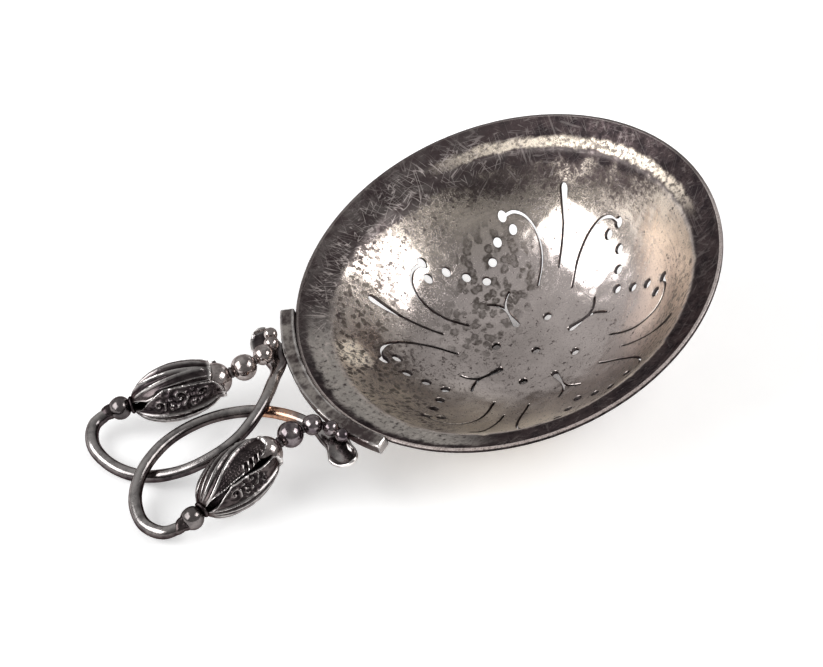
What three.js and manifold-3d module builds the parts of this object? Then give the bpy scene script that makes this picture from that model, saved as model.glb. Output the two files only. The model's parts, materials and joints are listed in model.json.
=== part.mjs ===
// Tea strainer in patinated silver: a raised and pierced bowl with an everted rim, a curved
// bracket soldered against the rim, and a handle of two twined wires. Each wire starts as a
// flattened leaf at the bracket, crosses its twin twice, loops round at the far end and
// returns to a flower bud, from whose mouth a row of beads runs back to the bracket.
// Units are millimetres.
//
// Rim frame, in which every piece is drawn: origin at the centre of the rim, z = 0 in the
// plane of the rim, +X away from the handle, +Y to the left of a hand that holds it.
// Row frame, in which the part is handed over: the strainer lies on a table, on the bowl's
// underside and the ends of the handle's loops, and +Z is the table's upward normal.

import * as THREE from 'three';
import { mergeVertices } from 'three/addons/utils/BufferGeometryUtils.js';
import Module from 'manifold-3d';

const wasm = await Module();
wasm.setup();

// ---- Driving dimensions -------------------------------------------------------------------

const RIM_RADIUS = 40;          // outer edge of the rim
const BOWL_DEPTH = 20.7;        // rim plane to the inside of the bowl's centre
const SHEET = 0.9;              // thickness of the raised sheet
const CREASE_RADIUS = 33.9;     // where the bowl's wall turns out into the rim
const CREASE_DEPTH = 3.1;       // depth of that turn below the rim plane
const LIP_WIDTH = 0.6;          // narrow flat on the rim's edge
const REST_TILT = 18.7;         // degrees between the rim plane and the table
const GAP = 0.3;                // clearance kept between pieces that are soldered together

const BRACKET = { width: 2.35, top: 0.9, height: 2.2, halfAngle: 29.3 };

const WIRE_RADIUS = 1.2;
const WIRE_SIDES = 8;
const WIRE_STEPS = 50;
const CROSS_RISE = 1.4;         // each wire's rise or fall where it crosses its twin

const TIP_BEAD = { at: [-71.8, 16.3, 4.4], radius: 2.1 };
const DOME = { at: [-54.5, 11.05, 3.7], radius: 2.95 };
const BEADS = [                 // from the bud back to the bracket
  { at: [-49.0, 10.1, 3.7], radius: 2.3 },
  { at: [-44.75, 10.6, 3.45], radius: 1.75 },
  { at: [-42.3, 12.8, 2.6], radius: 1.3 },
  { at: [-41.4, 15.35, 2.3], radius: 1.15 },
];

const BUD = {
  length: 17.4,
  baseRadius: 1.3,
  bellyRadius: 5.55,
  mouthRadius: 3.65,
  sheet: 0.55,
  swellEnd: 0.9,                // share of the length where the swell has died away
  swellLean: 0.82,              // below 1, the belly sits nearer the base
  swellFullness: 0.75,          // below 1, the belly is fuller than a sine
};
const BUD_BASE = TIP_BEAD.radius + GAP;   // bud base to the centre of the tip bead

const LEAF = {                  // half sizes
  at: [-42.9, 16.9, -0.5],
  length: 2.9,
  width: 2.1,
  thickness: 1.0,
  droop: 14,                    // degrees its tip hangs below the rim plane
};
const SCOOP = {                 // the leaf's hollow, as shares of the leaf
  width: 0.72,
  length: 0.7,
  shift: 0.1,
  rise: 1.15,
};

const SILVER = { color: 0x8d8880, roughness: 0.32, metalness: 1 };
const DARK_SILVER = { color: 0x5f5a58, roughness: 0.4, metalness: 1 };

// ---- Helpers ------------------------------------------------------------------------------

const degrees = THREE.MathUtils.degToRad;

function solid(geometry) {
  const bare = geometry.clone();
  bare.deleteAttribute('normal');
  bare.deleteAttribute('uv');
  const merged = mergeVertices(bare, 1e-4);
  return new wasm.Manifold(new wasm.Mesh({
    numProp: 3,
    vertProperties: new Float32Array(merged.attributes.position.array),
    triVerts: new Uint32Array(merged.index.array),
  }));
}

function geometryOf(body) {
  const mesh = body.getMesh();
  const geometry = new THREE.BufferGeometry();
  geometry.setAttribute('position', new THREE.BufferAttribute(mesh.vertProperties, 3));
  geometry.setIndex(new THREE.BufferAttribute(mesh.triVerts, 1));
  geometry.computeVertexNormals();
  return geometry;
}

function mesh(name, geometry, finish) {
  const piece = new THREE.Mesh(geometry, new THREE.MeshStandardMaterial(finish));
  piece.name = name;
  return piece;
}

function polar(radius, angle) {
  return new THREE.Vector2(radius * Math.cos(degrees(angle)), radius * Math.sin(degrees(angle)));
}

const END_REACH = 0.8;          // how far a ribbon's pointed ends reach, in half widths

// A flat shape that follows a plane curve, halfWidth(t) wide each side, with pointed ends.
function ribbon(curve, halfWidth, steps) {
  const left = [];
  const right = [];
  for (let i = 0; i <= steps; i++) {
    const t = i / steps;
    const point = curve.getPoint(t);
    const along = curve.getTangent(t);
    const side = new THREE.Vector2(-along.y, along.x).multiplyScalar(halfWidth(t));
    left.push(point.clone().add(side));
    right.unshift(point.clone().sub(side));
  }
  const tail = curve.getPoint(0).sub(curve.getTangent(0).multiplyScalar(END_REACH * halfWidth(0)));
  const nose = curve.getPoint(1).add(curve.getTangent(1).multiplyScalar(END_REACH * halfWidth(1)));
  return new THREE.Shape([tail, ...right.reverse(), nose, ...left.reverse()]);
}

// A tall prism on a flat shape, to cut down through the bowl.
function cutter(shape) {
  const prism = new THREE.ExtrudeGeometry(shape, {
    depth: 2 * BOWL_DEPTH,
    bevelEnabled: false,
    curveSegments: 5,
  });
  prism.translate(0, 0, -1.5 * BOWL_DEPTH);
  return solid(prism);
}

// ---- Bowl ---------------------------------------------------------------------------------

const FLOOR_RADIUS = 30;        // the hammered floor's curve is written for this radius
const FLOOR_RISE = [5.8, 7.5];  // rise at that radius from the square and fourth powers
const FLOOR_STEPS = [0, 7, 13, 18, 22.5, 26, 29];
const WALL_POINT = [31.6, -5.85];   // radius and height, halfway up the steep wall
const RIM_POINT = [36.6, -1.55];    // radius and height, halfway along the everted rim

function floorHeight(radius) {
  const share = (radius / FLOOR_RADIUS) ** 2;
  return -BOWL_DEPTH + FLOOR_RISE[0] * share + FLOOR_RISE[1] * share * share;
}

function bowlProfile() {
  const inside = FLOOR_STEPS.map((radius) => new THREE.Vector2(radius, floorHeight(radius)));
  inside.push(new THREE.Vector2(...WALL_POINT));
  inside.push(new THREE.Vector2(CREASE_RADIUS, -CREASE_DEPTH));
  inside.push(new THREE.Vector2(...RIM_POINT));
  inside.push(new THREE.Vector2(RIM_RADIUS - LIP_WIDTH, 0));
  const outside = [];
  for (let i = inside.length - 2; i > 0; i--) {
    const along = inside[i + 1].clone().sub(inside[i - 1]).normalize();
    outside.push(new THREE.Vector2(inside[i].x + SHEET * along.y, inside[i].y - SHEET * along.x));
  }
  return [
    ...inside,
    new THREE.Vector2(RIM_RADIUS, 0),
    new THREE.Vector2(RIM_RADIUS, -SHEET),
    ...outside,
    new THREE.Vector2(0, -BOWL_DEPTH - SHEET),
  ];
}

const DOT_RADIUS = 0.78;
const SLOT_HALF = 0.21;

function dot(radius, angle) {
  const centre = polar(radius, angle);
  const shape = new THREE.Shape();
  for (let i = 0; i < 8; i++) {
    const corner = polar(DOT_RADIUS, 45 * i).add(centre);
    if (i === 0) shape.moveTo(corner.x, corner.y);
    else shape.lineTo(corner.x, corner.y);
  }
  return cutter(shape);
}

const TULIP_FOOT = { from: 7.7, to: 11.9, wideHalf: 0.62, narrowing: 0.36 };
const TULIP_ARM = [[11.4, 0], [12.9, 0.8], [14.5, 8.7]];   // radius, and degrees to one side
const TULIP_ARM_HALF = 0.25;

// Small tulip: a round foot towards the bowl's centre and two arms that curl apart.
function tulip(angle) {
  const { from, to, wideHalf, narrowing } = TULIP_FOOT;
  const foot = new THREE.LineCurve(polar(from, angle), polar(to, angle));
  let shape = cutter(ribbon(foot, (t) => wideHalf - narrowing * Math.min(1, 1.6 * t), 5));
  for (const side of [-1, 1]) {
    const knots = TULIP_ARM.map(([radius, spread]) => polar(radius, angle + spread * side));
    const arm = new THREE.QuadraticBezierCurve(...knots);
    shape = shape.add(cutter(ribbon(arm, () => TULIP_ARM_HALF, 4)));
  }
  return shape;
}

const DROP = { from: 29.2, to: 17.8, tailHalf: 0.2, headExtra: 0.5 };

// Long drop, round at its outer end and drawn out to a point towards the centre.
function drop(angle) {
  const line = new THREE.LineCurve(polar(DROP.from, angle), polar(DROP.to, angle));
  const half = (t) => DROP.tailHalf + DROP.headExtra * Math.max(0, 1 - 3 * t) ** 0.7;
  return cutter(ribbon(line, half, 8));
}

const HOOK = [                  // along the drop's direction, and across it
  [14.1, 3.4],
  [18.4, 3.5],
  [21.4, 4.3],
  [23.5, 5.6],
  [24.9, 7.6],
  [25.0, 9.7],
  [24.0, 11.4],
];

// Curved slot beside a drop: it bows away, then hooks back into a round hole.
function hook(angle, side) {
  const turn = degrees(angle);
  const curve = new THREE.SplineCurve(HOOK.map(([along, across]) => (
    new THREE.Vector2(along, side * across).rotateAround(new THREE.Vector2(), turn)
  )));
  return cutter(ribbon(curve, () => SLOT_HALF, 14));
}

// A vee of dots that opens outwards, ending where the hooked slots end.
const VEE = [[18.4, 0], [20.8, 7.8], [23.4, 13.7], [24.5, 22.0], [26.6, 19.1]];

function piercing() {
  const cutters = [dot(0, 0)];
  for (let quarter = 0; quarter < 360; quarter += 90) {
    const diagonal = quarter + 45;
    cutters.push(dot(7.8, diagonal));
    cutters.push(tulip(quarter));
    cutters.push(drop(diagonal));
    cutters.push(hook(diagonal, -1));
    cutters.push(hook(diagonal, 1));
    for (const [radius, spread] of VEE) {
      cutters.push(dot(radius, quarter + spread));
      if (spread > 0) cutters.push(dot(radius, quarter - spread));
    }
  }
  return cutters;
}

function strainerBowl() {
  const lathe = new THREE.LatheGeometry(bowlProfile().reverse(), 60);
  lathe.rotateX(Math.PI / 2);
  let bowl = solid(lathe);
  for (const hole of piercing()) bowl = bowl.subtract(hole);
  return mesh('strainer_bowl', geometryOf(bowl), SILVER);
}

// ---- Bracket ------------------------------------------------------------------------------

function handleBracket() {
  const inner = RIM_RADIUS + GAP;
  const outer = inner + BRACKET.width;
  const from = Math.PI - degrees(BRACKET.halfAngle);
  const to = Math.PI + degrees(BRACKET.halfAngle);
  const shape = new THREE.Shape();
  shape.absarc(0, 0, outer, from, to, false);
  shape.absarc(0, 0, inner, to, from, true);
  const bar = new THREE.ExtrudeGeometry(shape, {
    depth: BRACKET.height,
    bevelEnabled: false,
    curveSegments: 24,
  });
  bar.translate(0, 0, BRACKET.top - BRACKET.height);
  return mesh('handle_bracket', bar, DARK_SILVER);
}

// ---- Wires --------------------------------------------------------------------------------

// Centre-line of the left wire, from the tip bead round the loop and back to its leaf.
// The last number is the share of CROSS_RISE: the left wire passes under at the first
// crossing and over at the second, and the right wire is its mirror with the shares reversed.
const WIRE_LINE = [
  [-74.2, 16.8, 4.3, 0],
  [-77.4, 15.8, 4.3, 0],
  [-79.5, 11.5, 4.2, 0],
  [-78.6, 5.9, 3.9, -0.5],
  [-74.9, 0.9, 3.4, -1],
  [-68.9, -3.0, 3.2, -0.7],
  [-62.5, -4.6, 3.0, 0],
  [-56.5, -3.9, 2.7, 0.5],
  [-50.7, -1.0, 2.4, 1],
  [-46.4, 3.6, 1.6, 1],
  [-44.2, 8.0, 0.2, 0.5],
  [-43.9, 12.3, -0.3, 0.1],
  [-43.3, 15.6, -0.4, 0],
];

function wireCurve(side) {
  return new THREE.CatmullRomCurve3(WIRE_LINE.map(([x, y, z, share]) => (
    new THREE.Vector3(x, side * y, z + side * share * CROSS_RISE)
  )));
}

function leaf(side) {
  const blade = new THREE.SphereGeometry(1, 12, 7);
  blade.scale(LEAF.width, LEAF.length, LEAF.thickness);
  const scoop = new THREE.SphereGeometry(1, 12, 7);
  scoop.scale(SCOOP.width * LEAF.width, SCOOP.length * LEAF.length, LEAF.thickness);
  scoop.translate(0, SCOOP.shift * LEAF.length * side, SCOOP.rise * LEAF.thickness);
  const scooped = geometryOf(solid(blade).subtract(solid(scoop)));
  scooped.rotateX(-degrees(LEAF.droop) * side);
  scooped.translate(LEAF.at[0], side * LEAF.at[1], LEAF.at[2]);
  return solid(scooped);
}

function stem(name, side) {
  const section = new THREE.Shape();
  for (let i = 0; i < WIRE_SIDES; i++) {
    const corner = polar(WIRE_RADIUS, (360 * i) / WIRE_SIDES);
    if (i === 0) section.moveTo(corner.x, corner.y);
    else section.lineTo(corner.x, corner.y);
  }
  const wire = new THREE.ExtrudeGeometry(section, {
    extrudePath: wireCurve(side),
    steps: WIRE_STEPS,
    bevelEnabled: false,
  });
  return mesh(name, geometryOf(solid(wire).add(leaf(side))), DARK_SILVER);
}

// ---- Beads and buds -----------------------------------------------------------------------

function bead(name, { at, radius }, side, finish) {
  const ball = mesh(name, new THREE.SphereGeometry(radius, 14, 8), finish);
  ball.position.set(at[0], side * at[1], at[2]);
  return ball;
}

// Bud radius at a share of its length: a quick swell, a full belly and a drawn-in mouth.
function budRadius(share) {
  const along = Math.min(1, share / BUD.swellEnd) ** BUD.swellLean;
  const swell = Math.sin(Math.PI * along) ** BUD.swellFullness;
  const ends = BUD.baseRadius + (BUD.mouthRadius - BUD.baseRadius) * share;
  return ends + (BUD.bellyRadius - (BUD.baseRadius + BUD.mouthRadius) / 2) * swell;
}

function budShell() {
  const rings = 9;
  const outside = [];
  const inside = [];
  for (let i = 0; i <= rings; i++) {
    const share = i / rings;
    const height = BUD_BASE + BUD.length * share;
    outside.push(new THREE.Vector2(budRadius(share), height));
    inside.unshift(new THREE.Vector2(budRadius(share) - BUD.sheet, height));
  }
  return solid(new THREE.LatheGeometry([...outside, ...inside, outside[0]], 24));
}

// A quarter-turn wedge about the bud's axis, drawn in by half a gap on both faces. Its angle
// turns about the axis from the bud's +X side, and -90 degrees faces up.
function quarterWedge(angle) {
  const reach = 2 * BUD.bellyRadius;
  const apex = polar(Math.SQRT2 * (GAP / 2), angle);
  const shape = new THREE.Shape();
  shape.moveTo(apex.x, apex.y);
  for (const turn of [-45, 0, 45]) {
    const corner = polar(reach, angle + turn).add(apex);
    shape.lineTo(corner.x, corner.y);
  }
  const wedge = new THREE.ExtrudeGeometry(shape, { depth: 2 * BUD.length, bevelEnabled: false });
  wedge.rotateX(-Math.PI / 2);
  return solid(wedge);
}

// The bud's own frame: origin at the tip bead's centre, +Y along the bud, +Z upwards.
function budFrame(side) {
  const base = new THREE.Vector3(TIP_BEAD.at[0], side * TIP_BEAD.at[1], TIP_BEAD.at[2]);
  const mouth = new THREE.Vector3(DOME.at[0], side * DOME.at[1], DOME.at[2]);
  const along = mouth.clone().sub(base).normalize();
  const across = along.clone().cross(new THREE.Vector3(0, 0, 1)).normalize();
  const up = across.clone().cross(along);
  const frame = new THREE.Group();
  frame.applyMatrix4(new THREE.Matrix4().makeBasis(across, along, up).setPosition(base));
  return frame;
}

// Both buds are turned alike about their axes: one slit between petals faces up and to -Y.
function bud(sideName, side) {
  const frame = budFrame(side);
  const shell = budShell();
  const petals = { top: -90, bottom: 90, inner: side > 0 ? 0 : 180, outer: side > 0 ? 180 : 0 };
  for (const [place, angle] of Object.entries(petals)) {
    const petal = shell.intersect(quarterWedge(angle));
    frame.add(mesh(`petal_${place}_${sideName}`, geometryOf(petal), DARK_SILVER));
  }
  return frame;
}

// ---- Assembly -----------------------------------------------------------------------------

const strainer = new THREE.Group();
strainer.add(strainerBowl());
strainer.add(handleBracket());
for (const [sideName, side] of [['left', 1], ['right', -1]]) {
  strainer.add(stem(`stem_${sideName}`, side));
  strainer.add(bead(`tip_bead_${sideName}`, TIP_BEAD, side, DARK_SILVER));
  strainer.add(bud(sideName, side));
  strainer.add(bead(`bud_dome_${sideName}`, DOME, side, SILVER));
  BEADS.forEach((size, i) => {
    strainer.add(bead(`bead_${i + 1}_${sideName}`, size, side, SILVER));
  });
}
strainer.rotation.y = -degrees(REST_TILT);

// Stand the strainer on z = 0, centred over the origin.
const part = new THREE.Group();
part.add(strainer);
const bounds = new THREE.Box3().setFromObject(part, true);
const middle = bounds.getCenter(new THREE.Vector3());
strainer.position.set(-middle.x, -middle.y, -bounds.min.z);

export default part;
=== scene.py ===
"""A tea strainer in patinated silver, on a white table under three softboxes.

Shapes are drawn in the strainer's rim frame, in millimetres: origin at the centre of the rim,
z = 0 in the rim's plane, +X away from the handle and +Y to the left of a hand that holds it.
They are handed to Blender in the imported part's own frame, in metres.
"""

import json
import math

import bmesh
import bpy
import numpy as np
from mathutils import Matrix, Vector
from mathutils.geometry import delaunay_2d_cdt
from mathutils.kdtree import KDTree


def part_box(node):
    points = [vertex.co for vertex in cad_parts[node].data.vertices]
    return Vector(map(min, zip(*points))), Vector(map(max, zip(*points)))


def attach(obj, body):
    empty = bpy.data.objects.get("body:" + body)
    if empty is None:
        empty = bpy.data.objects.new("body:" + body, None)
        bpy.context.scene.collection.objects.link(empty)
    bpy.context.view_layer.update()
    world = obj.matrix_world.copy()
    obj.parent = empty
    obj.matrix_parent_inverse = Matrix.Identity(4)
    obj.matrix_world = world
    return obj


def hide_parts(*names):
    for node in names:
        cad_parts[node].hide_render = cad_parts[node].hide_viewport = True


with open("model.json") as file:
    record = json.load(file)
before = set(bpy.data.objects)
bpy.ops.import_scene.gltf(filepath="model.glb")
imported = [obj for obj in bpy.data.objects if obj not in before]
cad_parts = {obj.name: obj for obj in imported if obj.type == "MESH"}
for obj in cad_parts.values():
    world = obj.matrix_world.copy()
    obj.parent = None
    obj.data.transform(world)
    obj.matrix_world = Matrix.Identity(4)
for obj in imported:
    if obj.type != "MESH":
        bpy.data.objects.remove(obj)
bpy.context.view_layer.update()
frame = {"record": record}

MM = 0.001

# ---- Driving dimensions, in the rim frame, in millimetres ----------------------------------

RIM_RADIUS = 40.0
BOWL_DEPTH = 20.7
SHEET = 0.9
CREASE_RADIUS = 33.9
CREASE_DEPTH = 3.1
LIP_WIDTH = 0.6

BRACKET_WIDTH = 2.35
BRACKET_TOP = 0.9
BRACKET_HEIGHT = 2.2
BRACKET_HALF_ANGLE = 29.3

CROSS_RISE = 1.4
WIRE_LINE = [          # x, y of the left wire, z, share of CROSS_RISE
    (-74.2, 16.8, 4.3, 0.0),
    (-77.4, 15.8, 4.3, 0.0),
    (-79.5, 11.5, 4.2, 0.0),
    (-78.6, 5.9, 3.9, -0.5),
    (-74.9, 0.9, 3.4, -1.0),
    (-68.9, -3.0, 3.2, -0.7),
    (-62.5, -4.6, 3.0, 0.0),
    (-56.5, -3.9, 2.7, 0.5),
    (-50.7, -1.0, 2.4, 1.0),
    (-46.4, 3.6, 1.6, 1.0),
    (-44.2, 8.0, 0.2, 0.5),
    (-43.9, 12.3, -0.3, 0.1),
    (-43.3, 15.6, -0.4, 0.0),
    (-42.8, 17.9, -0.5, 0.0),
    (-42.1, 20.3, 0.0, 0.0),
]

BUD_LENGTH = 17.4
BUD_BASE = 2.4         # bud base to the tip bead's centre
BUD_RADII = (1.3, 5.55, 3.65)   # at the base, the belly and the mouth
PETAL_SHEET = 0.45

SIDES = {"left": 1, "right": -1}


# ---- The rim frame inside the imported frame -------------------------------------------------

def rim_matrix():
    """Rim frame in millimetres to row frame in metres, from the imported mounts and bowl."""
    mounts = {m["name"]: m for m in frame["record"]["mounts"]}
    axis = mounts["bracket_top"]["axis"]
    tilt = math.atan2(-axis[0], axis[2])
    low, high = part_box("strainer_bowl")
    cos, sin = math.cos(tilt), math.sin(tilt)
    centre = Vector((
        high.x - MM * (RIM_RADIUS * cos + SHEET * sin),
        (low.y + high.y) / 2,
        high.z - MM * RIM_RADIUS * sin,
    ))
    turn = Matrix.Rotation(-tilt, 4, "Y")
    return Matrix.Translation(centre) @ turn @ Matrix.Scale(MM, 4), tilt


RIM, TILT = rim_matrix()


def rim_centre_of(node):
    """Centre of a CAD node's box, in the rim frame."""
    low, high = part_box(node)
    return np.array(RIM.inverted() @ ((low + high) / 2))


# ---- Numbers and curves --------------------------------------------------------------------

def ramp(low, high, x):
    """Smoothly from 0, where x is at low, to 1, where it is at high."""
    s = np.clip((np.asarray(x, float) - low) / (high - low), 0, 1)
    return s * s * (3 - 2 * s)


def unit(v):
    v = np.asarray(v, float)
    return v / np.maximum(np.linalg.norm(v, axis=-1, keepdims=True), 1e-12)


def ripple(points, wavelength, seed, waves=28):
    """A smooth random field of about unit height, the sum of seeded plane waves."""
    points = np.asarray(points, float)
    rng = np.random.default_rng(seed)
    heading = unit(rng.normal(size=(waves, points.shape[-1])))
    pace = 2 * math.pi / wavelength * rng.uniform(0.65, 1.5, waves)
    phase = rng.uniform(0, 2 * math.pi, waves)
    total = np.zeros(points.shape[:-1])
    for way, k, shift in zip(heading, pace, phase):
        total += np.cos(k * (points @ way) + shift)
    return total / math.sqrt(waves / 2)


def hand_curve(knots):
    """A softly rounded curve through the given (place, value) knots."""
    grid = np.linspace(0, 1, 241)
    places, values = zip(*knots)
    drawn = np.interp(grid, places, values)
    kernel = np.hanning(15)
    padded = np.pad(drawn, 7, mode="edge")
    soft = np.convolve(padded, kernel / kernel.sum(), mode="valid")
    return lambda t: np.interp(t, grid, soft)


def hermite(s, start, leaving, end, arriving):
    """Cubic from start to end as s goes from 0 to 1, with the given slopes at its ends."""
    s2, s3 = s * s, s * s * s
    return (
        (2 * s3 - 3 * s2 + 1) * start + (s3 - 2 * s2 + s) * leaving
        + (3 * s2 - 2 * s3) * end + (s3 - s2) * arriving
    )


def catmull_rom(points, per_span):
    """Centripetal Catmull-Rom through the points: positions and running index."""
    points = np.asarray(points, float)
    p = np.concatenate([[2 * points[0] - points[1]], points, [2 * points[-1] - points[-2]]])
    path = []
    for i in range(len(points) - 1):
        before, start, end, after = p[i:i + 4]
        a, b, c = np.sqrt(np.linalg.norm(np.diff(p[i:i + 4], axis=0), axis=1))
        out = (start - before) / a - (end - before) / (a + b) + (end - start) / b
        into = (end - start) / b - (after - start) / (b + c) + (after - end) / c
        last = i == len(points) - 2
        for s in np.linspace(0, 1, per_span + 1)[:None if last else -1]:
            path.append(hermite(s, start, out * b, end, into * b))
    return np.array(path), np.linspace(0, len(points) - 1, len(path))


# ---- Meshes --------------------------------------------------------------------------------

class Shell:
    """Vertices in the rim frame, faces, and two masks: rubbed bright wear, which along the wires' tops
    is also a painted highlight, and soot (dark).
    """

    def __init__(self):
        self.points, self.faces, self.wear, self.soot = [], [], [], []
        self.count = 0

    def add(self, points, faces, wear=0.0, soot=0.0):
        points = np.asarray(points, float).reshape(-1, 3)
        self.points.append(points)
        self.faces += [[i + self.count for i in face] for face in faces]
        for kept, mask in ((self.wear, wear), (self.soot, soot)):
            kept.append(np.broadcast_to(np.asarray(mask, float).ravel(), (len(points),)))
        self.count += len(points)
        return self

    def piece(self, name, material, sharp=38, replaces=(), weld=0.0):
        mesh = bpy.data.meshes.new("fine_" + name)
        points = np.concatenate(self.points)
        rows = np.array(RIM)[:3]
        world = points @ rows[:, :3].T + rows[:, 3]
        world[:, 2] = np.maximum(world[:, 2], 0)    # nothing sinks into the table
        mesh.from_pydata(world.tolist(), [], self.faces)
        for label, parts in (("wear", self.wear), ("soot", self.soot)):
            mask = mesh.attributes.new(label, "FLOAT", "POINT")
            mask.data.foreach_set("value", np.concatenate(parts).astype(np.float32))
        if weld:
            edit = bmesh.new()
            edit.from_mesh(mesh)
            bmesh.ops.remove_doubles(edit, verts=edit.verts, dist=weld * MM)
            edit.to_mesh(mesh)
            edit.free()
        mesh.validate()
        mesh.polygons.foreach_set("use_smooth", [True] * len(mesh.polygons))
        mesh.set_sharp_from_angle(angle=math.radians(sharp))
        mesh.materials.append(material)
        obj = bpy.data.objects.new("fine_" + name, mesh)
        bpy.context.scene.collection.objects.link(obj)
        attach(obj, "root")
        if replaces:
            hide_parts(*replaces)
        return obj


def grid_faces(rows, columns, closed=False, start=0):
    """Quads of a rows by columns grid. Counter-clockwise when rows run up and columns left."""
    faces = []
    wrap = columns if closed else columns - 1
    for i in range(rows - 1):
        for j in range(wrap):
            k = (j + 1) % columns
            a, b = start + i * columns + j, start + i * columns + k
            faces.append([a, b, b + columns, a + columns])
    return faces


def tube_faces(rings, sides):
    """Faces of a closed tube with its two ends."""
    last = (rings - 1) * sides
    ends = [list(range(sides))[::-1], list(range(last, last + sides))]
    return grid_faces(rings, sides, closed=True) + ends


def flipped(faces):
    return [face[::-1] for face in faces]


# ---- Bowl: outline of the holes, in plan ---------------------------------------------------

DOT_RADIUS = 0.78
HOOK_HALF = 0.22
DISC_RADIUS = 31.0     # inside this the sheet is pierced, outside it is turned plain
SPACING = 0.46         # distance between the disc's points
BURR = 0.1             # width and depth of the burnished chamfer round every hole


def polar(radius, angle):
    a = np.radians(angle)
    return np.stack([radius * np.cos(a), radius * np.sin(a)], -1)


def ribbon(path, half):
    """Closed outline, half wide each side of a plane path, with round ends."""
    path = np.asarray(path, float)
    half = np.broadcast_to(np.asarray(half, float), (len(path),)) + BURR
    way = unit(np.gradient(path, axis=0))
    side = np.stack([-way[:, 1], way[:, 0]], -1)
    turns = np.linspace(0, math.pi, 9)[1:-1, None]
    nose = path[-1] + half[-1] * (side[-1] * np.cos(turns) + way[-1] * np.sin(turns))
    tail = path[0] - half[0] * (side[0] * np.cos(turns) + way[0] * np.sin(turns))
    left = path + side * half[:, None]
    right = (path - side * half[:, None])[::-1]
    return np.concatenate([left, nose, right, tail])[::-1]


def dot(radius, angle):
    return polar(radius, angle) + polar(DOT_RADIUS + BURR, np.arange(0, 360, 15.0))


def tulip(angle):
    """A round foot towards the centre and two arms that curl apart."""
    t = np.linspace(0, 1, 12)[:, None]
    foot = polar(7.7, angle) * (1 - t) + polar(11.9, angle) * t
    outlines = [ribbon(foot, 0.62 - 0.38 * np.minimum(1, 1.6 * t[:, 0]) ** 1.4)]
    for side in (-1, 1):
        a, b, c = polar(11.2, angle), polar(13.1, angle + 0.6 * side), polar(14.6, angle + 9 * side)
        arm = (1 - t) ** 2 * a + 2 * t * (1 - t) * b + t * t * c
        outlines.append(ribbon(arm, 0.25 - 0.08 * t[:, 0]))
    return outlines


def drop(angle):
    """A long slot: round and wide at its outer end, drawn out towards the centre."""
    t = np.linspace(0, 1, 36)
    line = polar(29.1, angle) * (1 - t[:, None]) + polar(17.8, angle) * t[:, None]
    return ribbon(line, 0.17 + 0.55 * np.maximum(0, 1 - 2.6 * t) ** 0.8)


HOOK = [    # along the drop's line, away from it
    (14.1, 3.4), (18.4, 3.5), (21.4, 4.3), (23.5, 5.6), (24.9, 7.6), (25.0, 9.7), (24.0, 11.4),
]


def hook(angle, side):
    """The curved slot beside a drop, ending in the last dot of the vee."""
    along, across = polar(1, angle), polar(1, angle + 90)
    route = [u * along + side * v * across for u, v in HOOK]
    path, _ = catmull_rom(route, 9)
    return ribbon(path, HOOK_HALF * (0.85 + 0.15 * np.linspace(0, 1, len(path))))


VEE = [(18.4, 0.0), (20.8, 7.8), (23.4, 13.7), (24.5, 22.0), (26.6, 19.1)]     # radius, spread


def hole_outlines():
    outlines = [dot(0, 0)]
    for quarter in range(0, 360, 90):
        diagonal = quarter + 45
        outlines += [dot(7.8, diagonal), drop(diagonal), hook(diagonal, -1), hook(diagonal, 1)]
        outlines += tulip(quarter)
        for radius, spread in VEE:
            for angle in {quarter + spread, quarter - spread}:
                outlines.append(dot(radius, angle))
    return outlines


# ---- Bowl: surfaces ------------------------------------------------------------------------

FLOOR_RADIUS = 30.0
FLOOR_RISE = (5.8, 7.5)
WALL_FROM = 28.5       # the floor's curve hands over to the straight wall here
WALL_SLOPE = 1.12      # rise over run where the wall meets the crease


def floor_height(r):
    share = (r / FLOOR_RADIUS) ** 2
    return -BOWL_DEPTH + FLOOR_RISE[0] * share + FLOOR_RISE[1] * share * share


def inner_height(r):
    """Height of the bowl's inner face, up to the crease."""
    r = np.asarray(r, float)
    span = CREASE_RADIUS - WALL_FROM
    s = np.clip((r - WALL_FROM) / span, 0, 1)
    rise = FLOOR_RISE[0] * 2 * WALL_FROM + FLOOR_RISE[1] * 4 * WALL_FROM**3 / FLOOR_RADIUS**2
    slope = rise / FLOOR_RADIUS**2
    wall = hermite(s, floor_height(WALL_FROM), slope * span, -CREASE_DEPTH, WALL_SLOPE * span)
    return np.where(r < WALL_FROM, floor_height(r), wall)


def inner_slope(r, step=0.01):
    return (inner_height(r + step) - inner_height(r - step)) / (2 * step)


def hammering(x, y, face):
    """Relief left by the planishing hammer: broad facets, and finer marks up the wall."""
    plan = np.stack([x, y], -1)
    r = np.hypot(x, y)
    broad = ripple(plan, 7.5, 11 + face)
    fine = ripple(plan, 2.6, 21 + face)
    share = 1 - ramp(31, 34.5, r)
    return share * (0.022 * broad + 0.009 * fine) + (1 - share) * 0.006 * fine


def lift(plan, depth, face=0):
    """Plan points on the bowl's inner face, sunk into the sheet by depth along the normal."""
    x, y = plan[:, 0], plan[:, 1]
    r = np.maximum(np.hypot(x, y), 1e-9)
    slope = inner_slope(r)
    length = np.hypot(slope, 1)
    normal = np.stack([-slope * x / r / length, -slope * y / r / length, 1 / length], -1)
    level = np.stack([x, y, inner_height(r)], -1)
    return level + normal * (hammering(x, y, face) - depth)[:, None]


def inside(outline, points):
    """Which points lie inside a closed outline."""
    found = np.zeros(len(points), bool)
    x, y = points[:, 0], points[:, 1]
    for (x0, y0), (x1, y1) in zip(outline, np.roll(outline, -1, axis=0)):
        if y0 != y1:
            crosses = (y0 > y) != (y1 > y)
            found ^= crosses & (x < (x1 - x0) * (y - y0) / (y1 - y0) + x0)
    return found


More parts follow.
